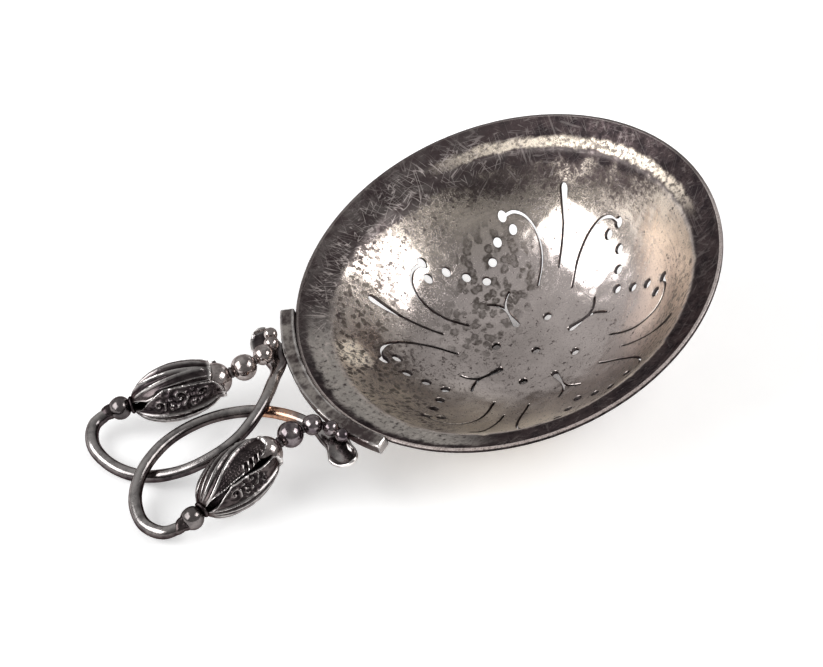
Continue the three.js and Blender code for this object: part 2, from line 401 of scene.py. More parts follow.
def pierced_disc(segments):
    """Plan triangulation of the disc with its holes left out: points and triangles."""
    outlines = hole_outlines()
    rim = polar(DISC_RADIUS, np.arange(segments) * 360 / segments)
    loops = [rim] + outlines
    near = KDTree(sum(len(o) for o in outlines))
    for i, point in enumerate(np.concatenate(outlines)):
        near.insert((point[0], point[1], 0), i)
    near.balance()
    filling = []
    for i in range(1, int(DISC_RADIUS / SPACING)):
        radius = i * SPACING
        count = max(6, round(2 * math.pi * radius / SPACING))
        for x, y in polar(radius, (np.arange(count) + 0.618 * i) * 360 / count):
            if near.find((x, y, 0))[2] > 0.55 * SPACING:
                filling.append((x, y))
    points, edges = [], []
    for loop in loops:
        first = len(points)
        points += [Vector(p) for p in loop]
        edges += [(first + i, first + (i + 1) % len(loop)) for i in range(len(loop))]
    points += [Vector(p) for p in filling]
    drawn, _, triangles, *_ = delaunay_2d_cdt(points, edges, [], 0, 1e-5)
    plan = np.array([tuple(p) for p in drawn])
    triangles = np.array([list(t) for t in triangles if len(t) == 3])
    a, b, c = (plan[triangles[:, i]] for i in range(3))
    area = (b[:, 0] - a[:, 0]) * (c[:, 1] - a[:, 1]) - (b[:, 1] - a[:, 1]) * (c[:, 0] - a[:, 0])
    triangles[area < 0] = triangles[area < 0][:, ::-1]
    middle = (a + b + c) / 3
    hollow = np.zeros(len(triangles), bool)
    for outline in outlines:
        low, high = outline.min(0) - 0.01, outline.max(0) + 0.01
        close = np.all((middle > low) & (middle < high), axis=1)
        hollow[close] |= inside(outline, middle[close])
    return plan, triangles[~hollow]


def hole_edges(plan, triangles):
    """Directed edges round the holes, with the sheet on their left."""
    directed = set()
    for a, b, c in triangles.tolist():
        directed |= {(a, b), (b, c), (c, a)}
    edges = [(a, b) for a, b in directed if (b, a) not in directed]
    radii = np.hypot(*plan.T)
    return sorted((a, b) for a, b in edges if radii[a] < DISC_RADIUS - 0.1)


def add_disc(shell, segments):
    plan, triangles = pierced_disc(segments)
    edges = hole_edges(plan, triangles)
    used = sorted({a for a, _ in edges})
    place = {v: i for i, v in enumerate(used)}
    away = np.zeros((len(used), 2))
    for a, b in edges:
        way = unit(plan[b] - plan[a])
        away[place[a]] += (way[1], -way[0])
        away[place[b]] += (way[1], -way[0])
    narrow = plan[used] + unit(away) * BURR
    shell.add(lift(plan, 0), triangles.tolist())
    shell.add(lift(plan, SHEET, face=1), triangles[:, ::-1].tolist())
    rings = [lift(plan[used], 0), lift(narrow, BURR), lift(narrow, SHEET - BURR, face=1)]
    rings.append(lift(plan[used], SHEET, face=1))
    count = len(used)
    wall = []
    for a, b in edges:
        i, j = place[a], place[b]
        wall += [[r * count + j, r * count + i, (r + 1) * count + i, (r + 1) * count + j]
                 for r in range(3)]
    wear = np.repeat([0.1, 0.25, 0.0, 0.2], count)
    soot = np.repeat([0.3, 0.85, 1.0, 0.5], count)
    shell.add(np.concatenate(rings), wall, wear=wear, soot=soot)


def rim_profile():
    """Plain part of the sheet, from the disc up over the rim and back: radius, height."""
    top_slope = CREASE_DEPTH / (RIM_RADIUS - LIP_WIDTH - CREASE_RADIUS)
    wall = [(r, float(inner_height(r))) for r in np.linspace(DISC_RADIUS, CREASE_RADIUS - 0.5, 9)]
    first, knee = np.array(wall[-1]), np.array([CREASE_RADIUS, -CREASE_DEPTH + 0.03])
    last = knee + np.array([1, top_slope]) * 0.55
    fillet = [(1 - s) ** 2 * first + 2 * s * (1 - s) * knee + s * s * last
              for s in np.linspace(0, 1, 8)[1:]]
    lip = RIM_RADIUS - LIP_WIDTH
    flange = []
    for s in np.linspace(0, 1, 17)[1:]:
        r = last[0] + (lip - 0.12 - last[0]) * s
        sag = 0.1 * math.sin(math.pi * s) + 0.1 * s
        flange.append((r, last[1] + (r - last[0]) * top_slope - sag))
    inner = np.array(wall + [tuple(p) for p in fillet] + flange)
    way = unit(np.gradient(inner, axis=0))
    outer = inner + SHEET * np.stack([way[:, 1], -way[:, 0]], -1)
    outer[0] = inner[0] + SHEET * unit([float(inner_slope(DISC_RADIUS)), -1.0])
    edge = [(lip - 0.03, -0.09), (lip + 0.03, -0.02), (lip + 0.13, 0.02), (lip + 0.3, 0.02),
            (RIM_RADIUS - 0.12, -0.01), (RIM_RADIUS - 0.03, -0.1), (RIM_RADIUS, -0.22),
            (RIM_RADIUS, -0.66), (RIM_RADIUS - 0.04, -0.78), (RIM_RADIUS - 0.14, -0.87)]
    back = outer[::-1]
    return np.concatenate([inner, edge, back[back[:, 0] < RIM_RADIUS - 0.2]])


def add_rim(shell, segments):
    profile = rim_profile()
    angles = np.arange(segments) * 360 / segments
    turned = np.array([polar(r, angles) for r, _ in profile])
    x, y = turned[..., 0], turned[..., 1]
    way = unit(np.gradient(profile, axis=0))
    out = np.stack([-way[:, 1], way[:, 0]], -1)
    height = np.repeat(profile[:, 1:], segments, axis=1)
    upper = len(profile) // 2
    above, below = hammering(x[:upper], y[:upper], 0), hammering(x[upper:], y[upper:], 1)
    relief = np.concatenate([above, -below])
    spread = (relief * out[:, :1])[..., None] * polar(1, angles)
    height = (height + relief * out[:, 1:])[..., None]
    points = np.concatenate([turned + spread, height], -1)
    # The first and last rings are the disc's own, so that disc and rim weld.
    seam = polar(DISC_RADIUS, angles)
    points[0] = lift(seam, 0)
    points[-1] = lift(seam, SHEET, face=1)
    rings = len(profile)
    wear = np.zeros((rings, segments))
    for i, (r, z) in enumerate(profile):
        near_crease = math.exp(-((r - CREASE_RADIUS) / 0.35) ** 2) * (i < upper)
        on_lip = r > RIM_RADIUS - LIP_WIDTH - 0.02 and z > -0.15
        wear[i] = max(0.6 * near_crease, 1.0 if on_lip else 0.0)
    shell.add(points, flipped(grid_faces(rings, segments, closed=True)), wear=wear)


def build_bowl(material):
    segments = 480
    shell = Shell()
    add_disc(shell, segments)
    add_rim(shell, segments)
    return shell.piece("bowl", material, sharp=32,
                       replaces=["strainer_bowl"], weld=0.004)


# ---- Bracket -------------------------------------------------------------------------------

def build_bracket(material):
    """The curved bar against the rim: a square section with softened edges."""
    inner, outer = RIM_RADIUS + 0.02, RIM_RADIUS + 0.3 + BRACKET_WIDTH
    top, bottom = BRACKET_TOP, BRACKET_TOP - BRACKET_HEIGHT
    ease = 0.16
    corners = [
        (inner, top - ease), (inner + ease, top), (outer - ease, top), (outer, top - ease),
        (outer, bottom + ease), (outer - ease, bottom), (inner + ease, bottom), (inner, bottom + ease),
    ]
    section = []
    for (r0, z0), (r1, z1) in zip(corners, corners[1:] + corners[:1]):
        steps = 6 if math.hypot(r1 - r0, z1 - z0) > 0.5 else 2
        section += [(r0 + (r1 - r0) * k / steps, z0 + (z1 - z0) * k / steps) for k in range(steps)]
    section = np.array(section)
    middle = section.mean(0)
    half = BRACKET_HALF_ANGLE
    eased = half - np.degrees(ease / outer)
    turns = np.concatenate([[-half, -eased], np.linspace(-half, half, 121)[1:-1], [eased, half]])
    from_corner = np.linalg.norm(section[:, None] - np.array(corners), axis=2).min(axis=1)
    rows, wear = [], []
    for k, turn in enumerate(turns):
        from_end = min(k, len(turns) - 1 - k)
        shrunk = section if from_end else middle + (section - middle) * (1 - 2 * ease / BRACKET_HEIGHT)
        rows.append(np.concatenate([polar(shrunk[:, 0], 180 + turn), shrunk[:, 1:]], axis=1))
        wear.append(np.where((from_corner < 0.02) | (from_end < 2), 1.0, 0.0))
    soot = np.tile(np.where(section[:, 1] < top - 2 * ease, 0.75, 0.0), len(turns))
    points = np.array(rows)
    relief = 0.03 * ripple(points, 4.5, 5) + 0.012 * ripple(points, 1.6, 6)
    points[..., 2] += relief * (points[..., 2] > top - 0.02)
    points[..., :2] *= (1 + 0.4 * relief / outer)[..., None]
    shell = Shell()
    faces = flipped(tube_faces(len(turns), len(section)))
    shell.add(points, faces, wear=np.array(wear), soot=soot)
    return shell.piece("bracket", material, sharp=30, replaces=["handle_bracket"])


# ---- Wires and their leaves ----------------------------------------------------------------

LEAF_FROM = 10.9       # place along WIRE_LINE where the wire starts to flatten
LEAF_HALF = 2.6
LEAF_ROUND_FROM = 0.5  # share of the leaf where its round end starts
LEAF_RUBBED = {"left": 0.0, "right": 0.5}   # how bright the hollow of each leaf is worn
CROSSING = 8.15        # place along WIRE_LINE where the wires cross for the second time
WIRE_LIFT = 0.07       # keeps the thickest part of the loops on the table
WIRE_RADIUS = hand_curve([
    (0.0, 1.12), (0.05, 1.18), (0.14, 1.26), (0.28, 1.24),
    (0.45, 1.12), (0.6, 1.07), (0.8, 1.1), (1.0, 1.05),
])


def leaf_width(share):
    """Half width of the leaf: it opens like a spoon and ends in a half circle."""
    opening = 1.1 + (LEAF_HALF - 1.1) * ramp(0.0, LEAF_ROUND_FROM, share)
    turn = np.clip((share - LEAF_ROUND_FROM) / (1 - LEAF_ROUND_FROM), 0, 1)
    return opening * np.sqrt(np.maximum(1 - turn**2, 0.004))


def swept(path, wide, high, scoop, flat, sides=36):
    """Rings of an oval section along a path. Where flat is 1 its edges are full and rolled, and
    scoop sinks the middle of its upper face."""
    way = unit(np.gradient(path, axis=0))
    side = unit(np.cross(way, (0.0, 0.0, 1.0)))
    rise = np.cross(side, way)
    a = np.arange(sides) * 2 * math.pi / sides
    cos, sin = np.cos(a)[None], np.sin(a)[None]
    full = np.sign(sin) * np.abs(sin) ** (1 - 0.5 * flat[:, None])
    hollow = ramp(0.1, 0.42, 1 - np.abs(cos)) * (sin > 0)
    rise_by = high[:, None] * full - scoop[:, None] * hollow
    side_by = wide[:, None] * cos
    return path[:, None] + side[:, None] * side_by[..., None] + rise[:, None] * rise_by[..., None]


def blob(centre, radii, axis, seed, rough=0.03, rings=14):
    """A soft lump of solder or a hand-made bead: a slightly uneven ball, longest on its axis."""
    t = np.linspace(0, math.pi, rings)[:, None]
    a = (np.arange(2 * rings) * math.pi / rings)[None]
    axis = unit(axis)
    helper = np.array([0.0, 0.0, 1.0]) if abs(axis[2]) < 0.9 else np.array([1.0, 0.0, 0.0])
    u = unit(np.cross(axis, helper))
    v = np.cross(axis, u)
    ball = (np.sin(t) * np.cos(a))[..., None] * u + (np.sin(t) * np.sin(a))[..., None] * v
    ball = ball * radii[0] + np.cos(t + 0 * a)[..., None] * axis * radii[1]
    ball = ball * (1 + rough * ripple(ball, 1.9 * radii[0], seed))[..., None]
    points = np.asarray(centre) + ball
    return points, flipped(grid_faces(rings, 2 * rings, closed=True))


def wire_route(side):
    lift_by = side * CROSS_RISE
    route = [(x, side * y, z + WIRE_LIFT + lift_by * share) for x, y, z, share in WIRE_LINE]
    return catmull_rom(route, 22)


def web_reach(path, place, wide):
    """How far the wire spreads sideways to meet the bracket, along the path."""
    gap = np.hypot(path[:, 0], path[:, 1]) - wide - (RIM_RADIUS + BRACKET_WIDTH)
    share = ramp(9.5, 10.5, place) * (1 - ramp(11.5, 12.5, place))
    return np.maximum(gap, 0) * share


def build_stem(name, side, material):
    path, place = wire_route(side)
    radius = WIRE_RADIUS(np.clip(place / LEAF_FROM, 0, 1))
    radius = radius + 0.016 * ripple(path, 6, 31 + side)
    flat = ramp(LEAF_FROM, LEAF_FROM + 1.2, place)
    leaf = np.clip((place - LEAF_FROM) / (place[-1] - LEAF_FROM), 0, 1)
    wide = radius * (1 - flat) + leaf_width(leaf) * flat
    high = radius * (1 - flat) + 0.46 * flat * np.minimum(1, leaf_width(leaf) / 0.8)
    scoop = 0.62 * ramp(0.2, 0.5, leaf) * (1 - ramp(0.86, 0.97, leaf))
    rings = swept(path, wide, high, scoop, flat)
    count = rings.shape[1]
    a = np.arange(count) * 2 * math.pi / count
    # The side that faces the rim's centre is drawn out into a web.
    inward = unit(-path * (1.0, 1.0, 0.0))
    facing = np.clip(np.einsum("kij,kj->ki", unit(rings - path[:, None]), inward), 0, 1)
    web = web_reach(path, place, wide)
    rings = rings + (web[:, None] * facing**1.6)[..., None] * inward[:, None]
    # The wires' tops are lighter: partly rubbed wear, partly a painted highlight along the top.
    top = np.clip(np.sin(a), 0, 1)[None] ** 3 * (1 - flat[:, None])
    edge = ramp(0.72, 0.9, np.abs(np.cos(a)))[None] * flat[:, None]
    edge = np.maximum(edge, ramp(0.84, 0.93, leaf)[:, None])
    hollow = np.clip(np.sin(a), 0, 1)[None] ** 0.5 * (1 - np.cos(a)[None] ** 4)
    rubbed = hollow * (ramp(0.22, 0.45, leaf) * (1 - ramp(0.84, 0.93, leaf)))[:, None]
    wear = np.clip(0.55 * top + edge + LEAF_RUBBED[name] * rubbed, 0, 1)
    shell = Shell()
    shell.add(rings, flipped(tube_faces(len(rings), count)), wear=wear)
    tip = rim_centre_of(f"tip_bead_{name}")
    collar = unit(path[0] - tip)
    uneven = 0.03 if side > 0 else 0.1
    shell.add(*blob(tip + 1.95 * collar, (1.42, 1.9), collar, 41, rough=uneven, rings=22), soot=0.3)
    crossing = int(np.argmin(np.abs(place - CROSSING)))
    way = unit(path[crossing + 6] - path[crossing - 6])
    down = np.array([0, 0, -0.9 * side])
    shell.add(*blob(path[crossing] + down, (0.85, 1.5), way, 44, rough=0.05, rings=18), soot=0.4)
    return shell.piece(f"stem_{name}", material, sharp=50, replaces=[f"stem_{name}"])


# ---- Beads ---------------------------------------------------------------------------------

BEAD_RADII = {1: 2.42, 2: 1.86, 3: 1.42, 4: 1.26}
TIP_RADIUS = 2.12
DOME_RADIUS = 3.05


def neck(start, end, radius, seed):
    """The bead of solder that joins two neighbours."""
    return blob((start + end) / 2, (radius, 0.6 * radius), end - start, seed, rough=0.06, rings=10)


def build_beads(name, material, dome_material, dark):
    row = [f"bud_dome_{name}"] + [f"bead_{i}_{name}" for i in range(1, 5)]
    centres = [rim_centre_of(node) for node in row]
    radii = [DOME_RADIUS] + [BEAD_RADII[i] for i in range(1, 5)]
    tip = rim_centre_of(f"tip_bead_{name}")
    for i, (node, centre, radius) in enumerate(zip(row, centres, radii)):
        shell = Shell()
        axis = centres[min(i + 1, 4)] - centres[max(i - 1, 0)]
        uneven = 0.035 if i > 1 else 0.01
        shell.add(*blob(centre, (radius, radius * 0.985), axis, 50 + i, rough=uneven, rings=30))
        if i:
            last, last_radius = centres[i - 1], radii[i - 1]
            touch = last + (centre - last) * last_radius / (last_radius + radius)
            gap = 0.3 * min(radius, last_radius)
            link = gap * unit(centre - touch)
            shell.add(*neck(touch - link, touch + link, 0.42 * radius, 60 + i), soot=0.9)
        metal = material if i else dome_material
        shell.piece(node, metal, sharp=60, replaces=[node])
    shell = Shell()
    along = unit(centres[0] - tip)
    shell.add(*blob(tip, (TIP_RADIUS, TIP_RADIUS), along, 70, rough=0.02, rings=26), wear=0.12)
    base = tip + along * (BUD_BASE - 0.1)
    shell.add(*blob(base, (1.62, 0.62), along, 71, rough=0.05, rings=16), soot=0.6)
    shell.piece(f"tip_bead_{name}", dark, sharp=60, replaces=[f"tip_bead_{name}"])


# ---- Buds ----------------------------------------------------------------------------------

# The open slit lies between the top petal and the petal on the -Y side. For each bud: the
# slit's two edges as (share of the bud's length, degrees from the top towards -Y).
SLIT = {
    "left": {
        "top": hand_curve([
            (0, 33), (0.08, 41), (0.17, 50), (0.25, 47), (0.34, 40), (0.5, 39), (0.8, 41), (1, 43),
        ]),
        "side": hand_curve([
            (0, 84), (0.07, 78), (0.13, 63), (0.19, 50), (0.3, 38),
            (0.38, 33), (0.5, 35), (0.75, 39), (0.9, 45), (1, 54),
        ]),
    },
    "right": {
        "top": hand_curve([
            (0, 49), (0.06, 40), (0.13, 42), (0.24, 45), (0.32, 44.5), (0.6, 47), (0.8, 41), (1, 34),
        ]),
        "side": hand_curve([
            (0, 86), (0.06, 80), (0.12, 65), (0.2, 54), (0.31, 45), (0.5, 49), (0.68, 57), (1, 62),
        ]),
    },
}

SCROLL_END = {"left": 0.9, "right": 0.72}    # share of the length where the scrollwork ends
SCROLLS = [    # share of the length, degrees, size, hand
    (0.29, 66, 1.9, 1), (0.43, 72, 1.7, -1), (0.53, 58, 2.2, 1), (0.66, 76, 1.9, -1),
    (0.76, 62, 2.0, 1),
]
SKIN_INSET = 0.16      # how far the petals' plain skin lies inside the design's bud

# How far the lip reaches at a petal's middle and at its corners, as shares of the length.
LIPS = {
    "left": {"top": (0.905, 0.87), "side": (0.985, 0.9), "rest": (0.95, 0.88)},
    "right": {"top": (0.945, 0.83), "side": (0.95, 0.88), "rest": (0.93, 0.86)},
}


def bud_radius(share):
    """The design's bud: a quick swell, a full belly and a drawn-in mouth."""
    base, belly, mouth = BUD_RADII
    swell = np.sin(math.pi * np.minimum(1, share / 0.9) ** 0.82)
    swell = np.maximum(swell, 0) ** 0.75
    return base + (mouth - base) * share + (belly - (base + mouth) / 2) * swell


def ridge(angle, centre, width, height):
    """A raised flute with a groove on each side."""
    x = (angle - centre) / width
    return height * (1.35 * np.exp(-x * x) - 0.5 * np.exp(-(x / 2.3) ** 2))


def spiral(t, angle, at_share, at_angle, size, hand):
    """One curl of generic scrollwork, about size millimetres across."""
    u = (t - at_share) * BUD_LENGTH
    v = np.radians(angle - at_angle) * BUD_RADII[1]
    rho = np.hypot(u, v)
    turn = hand * np.arctan2(v, u)
    return np.exp(-(rho / size) ** 2) * np.cos(2 * math.pi * rho / (0.62 * size) - turn)


def stipple(t, angle, pitch):
    """Round punch marks in staggered rows: 0 between them, 1 in their middles."""
    u = t * BUD_LENGTH / pitch
    v = np.radians(angle) * BUD_RADII[1] / pitch
    u = u + 0.5 * (np.floor(v) % 2)
    du, dv = u - np.floor(u) - 0.5, v - np.floor(v) - 0.5
    return np.exp(-((du**2 + dv**2) / 0.065))


def top_left_relief(t, angle):
    """Long smooth flutes that run the whole petal."""
    fading = ramp(1.0, 0.55, t)
    height = ridge(angle, 22 - 17 * t, 4.6, 0.5) * (0.25 + 0.75 * fading)
    height += ridge(angle, 2 - 24 * (1 - t) ** 6, 5.6, 0.55) * (0.35 + 0.65 * fading)
    height += ridge(angle, -22 + 6 * t, 6.0, 0.36)
    height += ridge(angle, 31 - 4 * t, 2.6, 0.2) * ramp(0.25, 0.45, t)
    return height, ramp(-0.08, -0.22, height)


def top_right_relief(t, angle):
    """Two slanting flutes, and beside the slit a punched panel with bright cuts."""
    first = 39 - 88 * t + 25 * t * t
    second = 12 - 50 * t
    height = ridge(angle, first, 4.6, 0.46) + ridge(angle, second, 5.0, 0.5)
    height += ridge(angle, second - 17, 4.6, 0.3)
    panel = ramp(4, 8, angle - first) * ramp(0.12, 0.24, t) * ramp(0.93, 0.87, t)
    marks = stipple(t, angle, 0.62) * panel
    near_slit = ramp(25, 31, angle) * ramp(0.45, 0.55, t) * ramp(0.9, 0.84, t)
    cuts = np.cos(2 * math.pi * (t * BUD_LENGTH / 1.25 + angle / 21)) * near_slit
    height += -0.2 * marks * (1 - near_slit) - 0.1 * panel + 0.34 * cuts
    return height, np.clip(1.3 * marks * (1 - near_slit) + np.clip(-cuts, 0, 1), 0, 1)


def side_relief(t, angle, far_end):
    """Scrollwork beside the slit, up to far_end, and three flutes round the flank."""
    lean = angle - 14 * t
    height = ridge(lean, 86, 4.0, 0.42) + ridge(lean, 100, 4.2, 0.4) + ridge(lean, 114, 4.5, 0.36)
    panel = ramp(83, 78, lean) * ramp(0.2, 0.32, t)
    panel *= ramp(far_end, far_end - 0.1, t)
    scroll = sum(spiral(t, angle, *curl) for curl in SCROLLS)
    ground = stipple(t, angle, 0.8) * ramp(0.35, 0.1, np.abs(scroll))
    height += panel * (0.27 * scroll - 0.12 - 0.12 * ground)
    return height, panel * np.clip(ramp(0.05, -0.45, scroll) + ground, 0, 1)


def plain_relief(t, angle):
    """The flutes of the petals underneath and behind."""
    height = sum(ridge(angle, centre * (1 - 0.3 * t), 4.6, 0.4) for centre in (-28, -9, 10, 29))
    return height, ramp(-0.08, -0.2, height)


def seam(angle, sway, waves):
    """An edge between two petals that wanders a little round an angle."""
    return lambda t: angle + sway * np.sin(waves * t)


def build_petal(name, place, material, side):
    """One pressed petal: a fluted, thick-edged quarter of the bud's skin with an arched lip."""
    base = rim_centre_of(f"tip_bead_{name}")
    dome = rim_centre_of(f"bud_dome_{name}")
    along = unit(dome - base)
    across = unit(np.cross(along, (0, 0, 1)))
    up = np.cross(across, along)
    slit_petal = "inner" if side > 0 else "outer"
    edges = {
        "top": (seam(-44.6, 1.2, 9), SLIT[name]["top"]),
        slit_petal: (SLIT[name]["side"], seam(134.6, 1.5, 7)),
        "bottom": (seam(135.4, 1.5, 7), seam(224.6, 1.2, 8)),
    }
    low_edge, high_edge = edges.get(place, (seam(225.4, 1.2, 8), seam(314.6, 1.2, 9)))
    middle = {"top": 0, slit_petal: 90, "bottom": 180}.get(place, 270)
    rows, columns = 118, 66
    q = np.linspace(-1, 1, columns)[None]
    v = np.linspace(0, 1, rows)[:, None]
    kind = {"top": "top", slit_petal: "side"}.get(place, "rest")
    mid_lip, corner_lip = LIPS[name][kind]
    reach = mid_lip - (mid_lip - corner_lip) * np.abs(q) ** 3.2
    t = v * reach
    angle = low_edge(t) + (high_edge(t) - low_edge(t)) * (q + 1) / 2
    t = t + 0 * q
    if kind == "top":
        relief, pits = (top_left_relief if name == "left" else top_right_relief)(t, angle)
    elif kind == "side":
        relief, pits = side_relief(t, angle, SCROLL_END[name])
    else:
        relief, pits = plain_relief(t, angle - middle)
    fade = ramp(0.0, 0.1, t) * (1 - 0.75 * ramp(0.86, 0.96, v + 0 * q))
    rolled = np.exp(-((np.abs(q) - 0.955) / 0.035) ** 2)
    lip = np.exp(-((v - 0.985) / 0.02) ** 2)
    crown = 0.3 * (0.4 - np.abs(q) ** 3)
    height = relief * fade + 0.16 * rolled * ramp(0.02, 0.12, t)
    height += 0.14 * lip + crown * ramp(0, 0.25, t)
    height += 0.012 * ripple(np.stack([t * BUD_LENGTH, np.radians(angle) * 5], -1), 1.5, 80 + middle)
    if kind == "side":
        height += 0.34 * ramp(-0.55, -0.95, q) * ramp(0.18, 0.34, t)
    if kind == "top":
        height -= 0.3 * ramp(0.75, 1.0, q) * ramp(0.2, 0.34, t)
    skin = bud_radius(t) - SKIN_INSET
    a = np.radians(angle)
    radial = np.cos(a)[..., None] * up + np.sin(a)[..., None] * across
    spine = base + (BUD_BASE + BUD_LENGTH * t)[..., None] * along
    outer = spine + (skin + height)[..., None] * radial
    inner = spine + (skin + crown - PETAL_SHEET)[..., None] * radial
    tone = np.clip(relief / 0.4, -1, 1)
    wear = np.clip(0.85 * np.clip(tone, 0, 1) * fade + rolled * 0.8 + lip, 0, 1)
    soot = np.clip(np.clip(-tone, 0, 1) * 1.3 + pits, 0, 1) * (1 - rolled)
    shell = Shell()
    shell.add(outer, grid_faces(rows, columns), wear=wear, soot=soot)
    shell.add(inner, flipped(grid_faces(rows, columns)), soot=1.0)
    border = [i * columns for i in range(rows)]
    border += [(rows - 1) * columns + j for j in range(1, columns)]
    border += [i * columns + columns - 1 for i in range(rows - 2, -1, -1)]
    border += range(columns - 2, 0, -1)
    size = rows * columns
    shell.faces += [[i, j, j + size, i + size] for i, j in zip(border, border[1:] + border[:1])]
    return shell.piece(f"petal_{place}_{name}", material, sharp=44,
                       replaces=[f"petal_{place}_{name}"])


# ---- Materials -----------------------------------------------------------------------------

def set_inputs(tree, node, values):
    """Set a node's inputs to numbers and colours, or link them to fields and sockets."""
    for key, value in values.items():
        source = value.socket if isinstance(value, Field) else value
        if isinstance(source, bpy.types.NodeSocket):
            tree.links.new(source, node.inputs[key])
        else:
            node.inputs[key].default_value = source


def add_node(tree, kind, values=None, **settings):
    node = tree.nodes.new("ShaderNode" + kind)
    for key, value in settings.items():
        setattr(node, key, value)
    set_inputs(tree, node, values or {})
    return node


class Field:
    """What varies over a surface: a node's output, with arithmetic. a | b is the larger one."""

    def __init__(self, tree, kind, values=None, output=0, **settings):
        self.tree = tree
        self.socket = add_node(tree, kind, values, **settings).outputs[output]

    def math(self, operation, other=0.0):
        return Field(self.tree, "Math", {0: self, 1: other}, operation=operation)

    def __add__(self, other):
        return self.math("ADD", other)

    def __sub__(self, other):
        return self.math("SUBTRACT", other)

    def __mul__(self, other):
        return self.math("MULTIPLY", other)

    def __or__(self, other):
        return self.math("MAXIMUM", other)

    def vector(self, operation, other=(0, 0, 0), output=0):
        return Field(self.tree, "VectorMath", {0: self, 1: other}, output, operation=operation)

    def step(self, low, high, to_low=0.0, to_high=1.0):
        """Smoothly from to_low, where the field is at low, to to_high, where it is at high."""
        values = {"Value": self, "From Min": low, "From Max": high, "To Min": to_low, "To Max": to_high}
        return Field(self.tree, "MapRange", values, interpolation_type="SMOOTHSTEP")

    def distance(self, centre):
        return self.vector("DISTANCE", centre, "Value")

    def toward(self, angle):
        """How far a place lies towards an angle counted from +X to +Y."""
        a = math.radians(angle)
        return self.vector("DOT_PRODUCT", (math.cos(a), math.sin(a), 0), "Value")

    def parts(self, count):
        """The first coordinates of a place."""
        return [Field(self.tree, "SeparateXYZ", {0: self}, i) for i in range(count)]


class Paint:
    """A metal's material, painted in the rim frame's millimetres."""

    def __init__(self, name):
        self.material = bpy.data.materials.new(name)
        self.material.use_nodes = True
        self.tree = self.material.node_tree
        self.tree.nodes.clear()
        centre = Matrix.Rotation(TILT, 3, "Y") @ RIM.translation / MM
        self.rim = self.field("Mapping", {
            "Vector": self.field("TexCoord", output="Object"), "Scale": (1 / MM,) * 3,
            "Rotation": (0, TILT, 0), "Location": tuple(-centre),
        })
        self.wear, self.soot = (
            self.field("Attribute", output="Fac", attribute_type="GEOMETRY", attribute_name=mask)
            for mask in ("wear", "soot")
        )

    def field(self, kind, values=None, output=0, **settings):
        return Field(self.tree, kind, values, output, **settings)

    def noise(self, scale, detail=4.0, rough=0.6, place=None):
        values = {"Vector": place or self.rim, "Scale": scale, "Detail": detail, "Roughness": rough}
        return self.field("TexNoise", values)

    def stretched(self, turn, squeeze, slide=0.0):
        """Places turned about Z, then squeezed, for streaks along one direction."""
        turned = self.field("Mapping", {"Vector": self.rim, "Rotation": (0, 0, math.radians(turn))})
        return self.field("Mapping", {"Vector": turned, "Scale": squeeze, "Location": (slide, 0, 0)})

    def scratches(self, turns, spacing, length, width):
        """Hair scratches along a few directions, 1 on a scratch and 0 between. Each is a contour
        of a stretched noise, broken off here and there."""
        total = None
        for i, turn in enumerate(turns):
            place = self.stretched(turn, (1 / length, 1 / spacing, 0.01), 7.3 * i)
            off = (self.noise(1.0, 1.0, 0.5, place) - 0.5).math("ABSOLUTE")
            dashes = self.noise(0.28, 2, 0.5, self.stretched(turn + 50, (1, 1, 1), 3.1 * i))
            lines = off.step(width, 0.3 * width) * dashes.step(0.48, 0.56)
            total = total | lines if total else lines
        return total

    def layers(self, colour, *layers):
        """A colour with others laid over it in turn, each as (share, colour)."""
        for share, over in layers:
            colour = self.field("Mix", {0: share, 6: colour, 7: over}, 2, data_type="RGBA")
        return colour

    def finish(self, colour, rough, height, depth, metal=1.0):
        """The material, its surface raised by height times depth millimetres."""
        raised = self.field("Bump", {"Height": height, "Strength": 1.0, "Distance": depth * MM})
        shader = self.field("BsdfPrincipled", {
            "Base Color": colour, "Roughness": rough, "Metallic": metal,
            "Specular Tint": GRAZING_TINT, "Normal": raised,
        })
        add_node(self.tree, "OutputMaterial", {0: shader})
        return self.material


LIGHT_SILVER = (0.74, 0.66, 0.63, 1)
# Light colour of the painted reflections on the bowl's near wall and near the handle.
PAINTED_REFLECTION_CREAM = (0.9, 0.8, 0.66, 1)
WARM_SILVER = (0.82, 0.72, 0.6, 1)
# Rubbed silver, which also paints the highlight along the wires' tops.
RUBBED_AND_HIGHLIGHT_SILVER = (0.86, 0.82, 0.8, 1)
GREY_TARNISH = (0.41, 0.36, 0.34, 1)
GREEN_TARNISH = (0.44, 0.41, 0.38, 1)
OLIVE_TARNISH = (0.075, 0.062, 0.052, 1)
BROWN_PATINA = (0.062, 0.047, 0.048, 1)
BLACK_PATINA = (0.028, 0.022, 0.024, 1)
COPPER = (0.62, 0.34, 0.22, 1)
GRAZING_TINT = (0.35, 0.32, 0.32, 1)    # tarnish dulls reflections at a low angle


